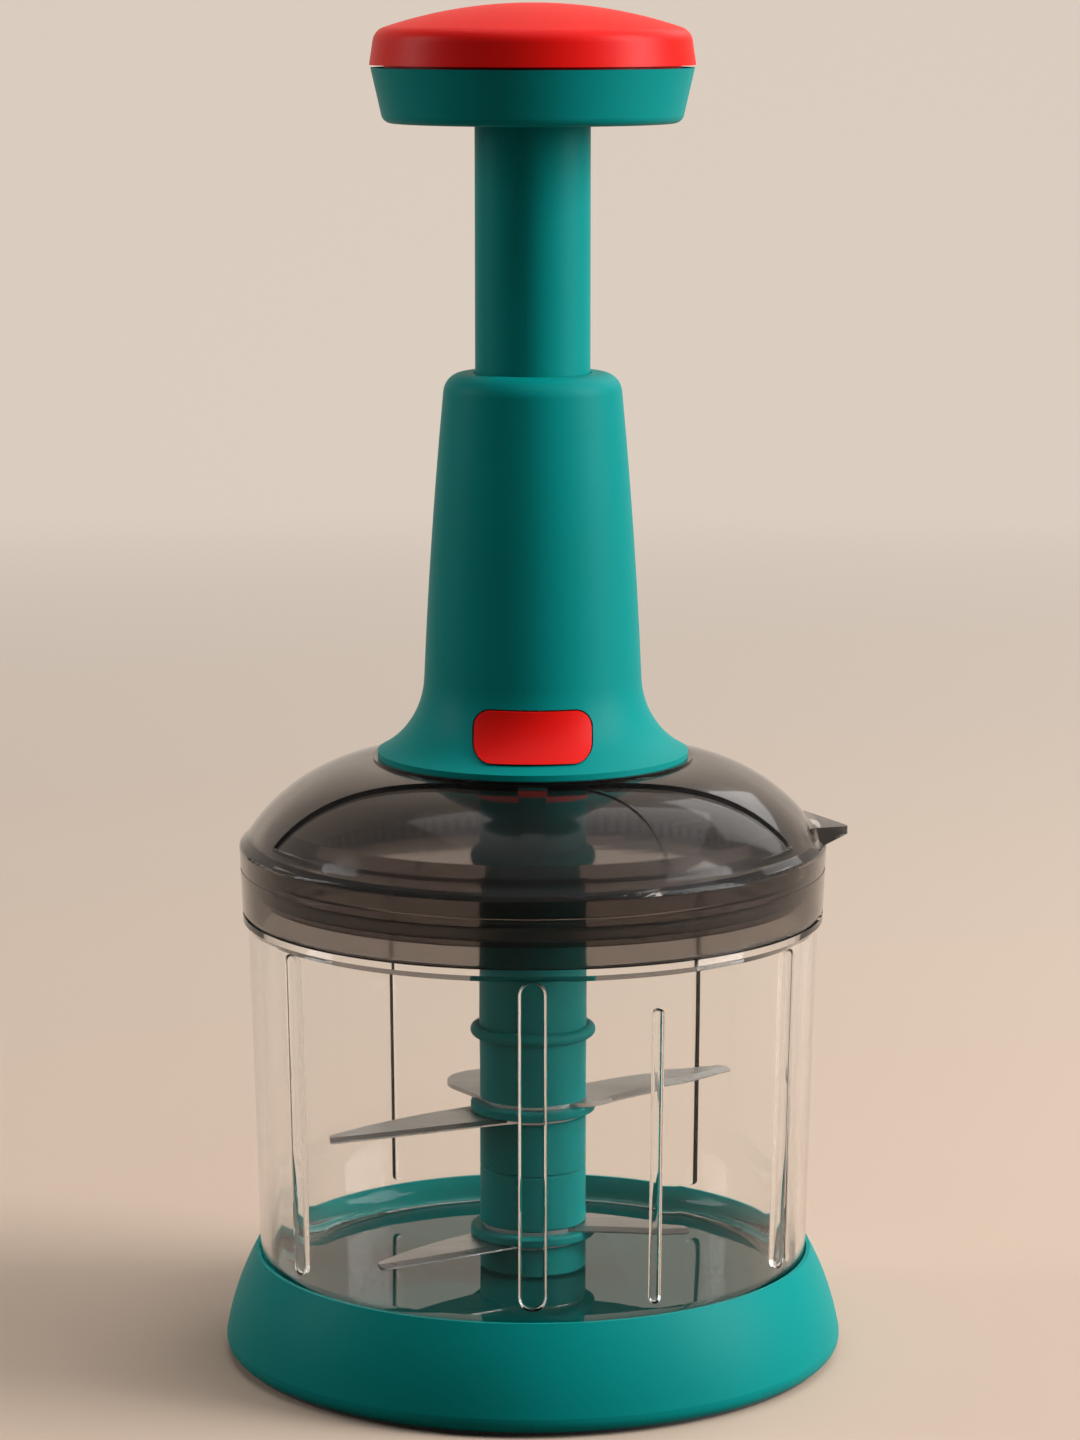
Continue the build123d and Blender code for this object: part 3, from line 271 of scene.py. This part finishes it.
finishes = {
    "teal_plastic": solidFinish("tealPlastic", tealLook),
    "red_plastic": solidFinish("redPlastic", redLook),
    "clear_plastic": clearFinish("clearBowlPlastic", clearLook),
    "smoked_plastic": clearFinish("smokedLidPlastic", smokedLook),
    "dark_plastic": solidFinish("darkPlastic", darkLook),
    "white_plastic": solidFinish("whiteGuidePlastic", whiteLook),
    "grey_silicone": solidFinish("gripSilicone", gripLook),
    "clear_silicone": clearFinish("sealSilicone", sealLook),
    "steel": solidFinish("turnedSteel", turnedLook),
    "spring_steel": solidFinish("springWire", wireLook),
    "bronze": solidFinish("sinteredBronze", bronzeLook),
}
# each blade's streaks run down its longest arm, so each has its own turned copy of the steel
bladeTurns = {"upper_blade": 40, "second_blade": 212, "third_blade": -14, "fourth_blade": 219}
ownFinishes = {
    name: solidFinish("brushedSteel_" + name, dict(bladeLook, turn=-math.radians(turn)))
    for name, turn in bladeTurns.items()
}
# the pieces that turn in the bowl get a darker copy of the teal: painted shade for the dimmer light inside
# the bowl under the lid
shadedTeal = solidFinish("shadedTealPlastic", shadedTealLook)
shadedPieces = (
    "shaft_upper", "shaft_middle", "shaft_lower", "shaft_foot",
    "upper_spacer", "lower_spacer", "drive_sleeve",
)
ownFinishes.update({name: shadedTeal for name in shadedPieces})

for name, node in nodes.items():
    finish = ownFinishes.get(name) or finishes[slotOf[name]]
    node.data.materials.clear()
    node.data.materials.append(finish)
print("finishes on", len(nodes), "nodes")


# a wire carried along a helix: u runs along the wire and v round it, so a point is
# the helix at u plus the wire's radius times cos v outwards and sin v across
def coilPoints(coil):
    u = np.linspace(0.0, 1.0, coil["turns"] * coil["stepsPerTurn"] + 1)
    v = np.linspace(0.0, 2 * np.pi, coil["sides"], endpoint=False)
    angle = 2 * np.pi * coil["turns"] * u
    climb = coil["length"] - coil["wire"]
    slope = climb / (2 * np.pi * coil["turns"] * coil["radius"])
    outward = np.stack([np.cos(angle), np.sin(angle), np.zeros_like(u)], -1)
    along = np.stack([-np.sin(angle), np.cos(angle), np.full_like(u, slope)], -1)
    along /= np.linalg.norm(along, axis=1, keepdims=True)
    across = np.cross(outward, along)
    middle = outward * coil["radius"]
    middle[:, 2] = coil["wire"] / 2 + climb * u
    ringOut = np.cos(v)[None, :, None] * outward[:, None, :]
    ringAcross = np.sin(v)[None, :, None] * across[:, None, :]
    return middle[:, None, :] + coil["wire"] / 2 * (ringOut + ringAcross)


# a tube's faces: quads between neighbouring rings, and one face over each end
def tubeFaces(rings, sides):
    ring, side = np.meshgrid(np.arange(rings - 1), np.arange(sides), indexing="ij")
    after = (side + 1) % sides
    here, there = ring * sides, (ring + 1) * sides
    quads = np.stack([here + side, there + side, there + after, here + after], -1)
    first = np.arange(sides).tolist()
    last = (np.arange(sides)[::-1] + (rings - 1) * sides).tolist()
    return quads.reshape(-1, 4).tolist() + [first, last]


# the coil in its place: its points times the three directions of its own frame, plus its start
def coilPiece(name, coil, start, axes):
    points = coilPoints(coil)
    rings, sides = points.shape[:2]
    placed = points.reshape(-1, 3) @ np.array(axes) + np.array(start)
    mesh = bpy.data.meshes.new(name)
    mesh.from_pydata(placed.tolist(), [], tubeFaces(rings, sides))
    mesh.polygons.foreach_set("use_smooth", np.ones(len(mesh.polygons), bool))
    mesh.materials.append(finishes["spring_steel"])
    piece = bpy.data.objects.new(name, mesh)
    bpy.context.scene.collection.objects.link(piece)
    return piece


springLow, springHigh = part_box("return_spring")
returnCoil = {"turns": 9, "stepsPerTurn": 28, "sides": 10, "wire": 0.0013}
returnCoil["length"] = springHigh.z - springLow.z
returnCoil["radius"] = (springHigh.x - springLow.x - returnCoil["wire"]) / 2
returnSpring = coilPiece("returnSpringWire", returnCoil, (0, 0, springLow.z), np.eye(3))
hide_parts("return_spring")
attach(returnSpring, "head")
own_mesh(returnSpring)

catchLow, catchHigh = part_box("button_spring")
buttonCoil = {"turns": 5, "stepsPerTurn": 24, "sides": 8, "wire": 0.0005}
buttonCoil["length"] = catchHigh.y - catchLow.y
buttonCoil["radius"] = (catchHigh.x - catchLow.x - buttonCoil["wire"]) / 2
catchMiddle = (0, catchHigh.y, (catchLow.z + catchHigh.z) / 2)
buttonSpring = coilPiece("buttonSpringWire", buttonCoil, catchMiddle, [(1, 0, 0), (0, 0, 1), (0, -1, 0)])
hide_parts("button_spring")
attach(buttonSpring, "head")
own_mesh(buttonSpring)
print("springs wound")


sweep = {"width": 24.0, "front": -12.0, "back": 1.6, "bend": 0.9, "height": 4.0, "steps": 320}


# floor that sweeps up into a backdrop: x runs across, s along the floor, round a quarter circle and up
def sweepMesh():
    x = np.linspace(-sweep["width"] / 2, sweep["width"] / 2, 2)
    flat = sweep["back"] - sweep["front"]
    arc = sweep["bend"] * np.pi / 2
    s = np.linspace(0.0, flat + arc + sweep["height"], sweep["steps"])
    turn = np.clip((s - flat) / sweep["bend"], 0.0, np.pi / 2)
    y = np.where(s < flat, sweep["front"] + s, sweep["back"] + sweep["bend"] * np.sin(turn))
    z = np.where(s < flat, 0.0, sweep["bend"] * (1 - np.cos(turn)) + np.clip(s - flat - arc, 0.0, None))
    across = np.repeat(x[None, :], len(s), 0)
    grid = np.stack([across, np.repeat(y[:, None], 2, 1), np.repeat(z[:, None], 2, 1)], -1)
    row = np.arange(len(s) - 1)
    faces = np.stack([2 * row, 2 * row + 1, 2 * row + 3, 2 * row + 2], -1)
    mesh = bpy.data.meshes.new("paleSweep")
    mesh.from_pydata(grid.reshape(-1, 3).tolist(), [], faces.tolist())
    mesh.polygons.foreach_set("use_smooth", np.ones(len(mesh.polygons), bool))
    return mesh


# 1 for what the camera sees, also through the bowl or in a gloss, and 0 for light on its way
# round the room: the largest of the three kinds of ray, less the diffuse bounces before it
def seenRays(tree):
    ray = addNode(tree, "ShaderNodeLightPath")
    seen = ray.outputs["Is Camera Ray"]
    for operation, output in (
        ("MAXIMUM", "Is Glossy Ray"), ("MAXIMUM", "Is Transmission Ray"), ("SUBTRACT", "Diffuse Depth"),
    ):
        step = addNode(tree, "ShaderNodeMath")
        step.operation = operation
        step.use_clamp = True
        tree.links.new(seen, step.inputs[0])
        tree.links.new(ray.outputs[output], step.inputs[1])
        seen = step.outputs[0]
    return seen


# a number that runs between two values with the distance from the object's foot
def overDistance(tree, reach, values):
    place = addNode(tree, "ShaderNodeTexCoord")
    away = addNode(tree, "ShaderNodeVectorMath")
    away.operation = "LENGTH"
    tree.links.new(place.outputs["Object"], away.inputs[0])
    span = addNode(tree, "ShaderNodeMapRange")
    span.inputs["From Min"].default_value, span.inputs["From Max"].default_value = reach
    span.inputs["To Min"].default_value, span.inputs["To Max"].default_value = values
    tree.links.new(away.outputs["Value"], span.inputs["Value"])
    return span.outputs["Result"]


# the product of two numbers
def timesOf(tree, first, second):
    product = addNode(tree, "ShaderNodeMath")
    product.operation = "MULTIPLY"
    tree.links.new(first, product.inputs[0])
    tree.links.new(second, product.inputs[1])
    return product.outputs[0]


# paper finish: pale where it is seen near the object, and further away a dull tone with a glow, so that
# no lamp burns it out. For the light that it throws back it is dull all over, and fills in no shadows
def paperFinish(name, look):
    finish, tree, shader = newFinish(name)
    seen = seenRays(tree)
    tone = addNode(tree, "ShaderNodeMix")
    tone.data_type = "RGBA"
    tone.inputs["A"].default_value = (*look["dullTone"], 1)
    paleness = overDistance(tree, look["glowReach"], look["paleness"])
    tree.links.new(timesOf(tree, seen, paleness), tone.inputs["Factor"])
    pale = toneBetween(tree, grainOf(tree, look["driftScale"]), look["tones"])
    tree.links.new(pale, tone.inputs["B"])
    tree.links.new(tone.outputs["Result"], shader.inputs["Base Color"])
    fibre = grainOf(tree, look["grainScale"], fineDetail)
    tree.links.new(valueBetween(tree, fibre, *look["roughness"]), shader.inputs["Roughness"])
    shader.inputs["Specular IOR Level"].default_value = 0.0
    glow = overDistance(tree, look["glowReach"], look["glow"])
    shader.inputs["Emission Color"].default_value = (*look["glowTone"], 1)
    tree.links.new(timesOf(tree, seen, glow), shader.inputs["Emission Strength"])
    return finish


paperLook = {
    "tones": ((0.585, 0.455, 0.36), (0.61, 0.475, 0.375)),
    "driftScale": 1.5,
    "grainScale": 900.0,
    "roughness": (0.85, 0.95),
    "glowTone": (1.0, 0.86, 0.73),
    "dullTone": (0.17, 0.155, 0.14),
    "glowReach": (0.15, 1.7),
    "glow": (0.0, 0.64),
    "paleness": (1.0, 0.0),
}
paperSweep = bpy.data.objects.new("paperSweep", sweepMesh())
paperSweep.data.materials.append(paperFinish("palePaper", paperLook))
bpy.context.scene.collection.objects.link(paperSweep)

# soft boxes: a tall one on the right, a narrow one on the left, a wide one above, one behind
softBoxes = {
    "rightBox": {"place": (1.50, -0.22, 0.86), "size": (0.77, 1.3), "power": 40.0},
    "leftBox": {"place": (-1.20, 0.10, 0.64), "size": (0.30, 0.8), "power": 4.8},
    "topBox": {"place": (0.25, 0.06, 1.35), "size": (1.7, 1.4), "power": 11.0},
    "backBox": {"place": (0.80, 1.00, 0.95), "size": (0.8, 0.6), "power": 2.6},
}
aim = Vector((0, 0, 0.17))  # about the middle of the object
for name, box in softBoxes.items():
    lamp = bpy.data.lights.new(name, "AREA")
    lamp.shape = "RECTANGLE"
    lamp.size, lamp.size_y = box["size"]
    lamp.energy = box["power"]
    stand = bpy.data.objects.new(name, lamp)
    stand.location = box["place"]
    stand.rotation_euler = (aim - stand.location).to_track_quat("-Z", "Y").to_euler()
    bpy.context.scene.collection.objects.link(stand)

# the room: pale where it is seen, dim for the light that it gives
roomLook = {"tone": (1.0, 0.95, 0.89), "dim": 0.045, "pale": 0.66}
room = bpy.data.worlds.new("paleRoom")
room.use_nodes = True
air = room.node_tree.nodes["Background"]
air.inputs["Color"].default_value = (*roomLook["tone"], 1)
span = addNode(room.node_tree, "ShaderNodeMapRange")
span.inputs["To Min"].default_value = roomLook["dim"]
span.inputs["To Max"].default_value = roomLook["pale"]
room.node_tree.links.new(seenRays(room.node_tree), span.inputs["Value"])
room.node_tree.links.new(span.outputs["Result"], air.inputs["Strength"])
bpy.context.scene.world = room
print("floor and lamps set")

# the photo's view: a long lens in front, tilted a little down
photoView = {
    "place": (0.0017, -1.037, 0.324),
    "tiltDown": 9.35,
    "lens": 110.5,
    "sensor": 36.0,
    "nearest": 0.01,
}
eye = bpy.data.cameras.new("photoCamera")
eye.lens = photoView["lens"]
eye.sensor_width = photoView["sensor"]
eye.clip_start = photoView["nearest"]
camera = bpy.data.objects.new("photoCamera", eye)
camera.location = photoView["place"]
camera.rotation_euler = (math.radians(90 - photoView["tiltDown"]), 0, 0)
bpy.context.scene.collection.objects.link(camera)
bpy.context.scene.camera = camera
bpy.context.scene.view_settings.view_transform = "Standard"
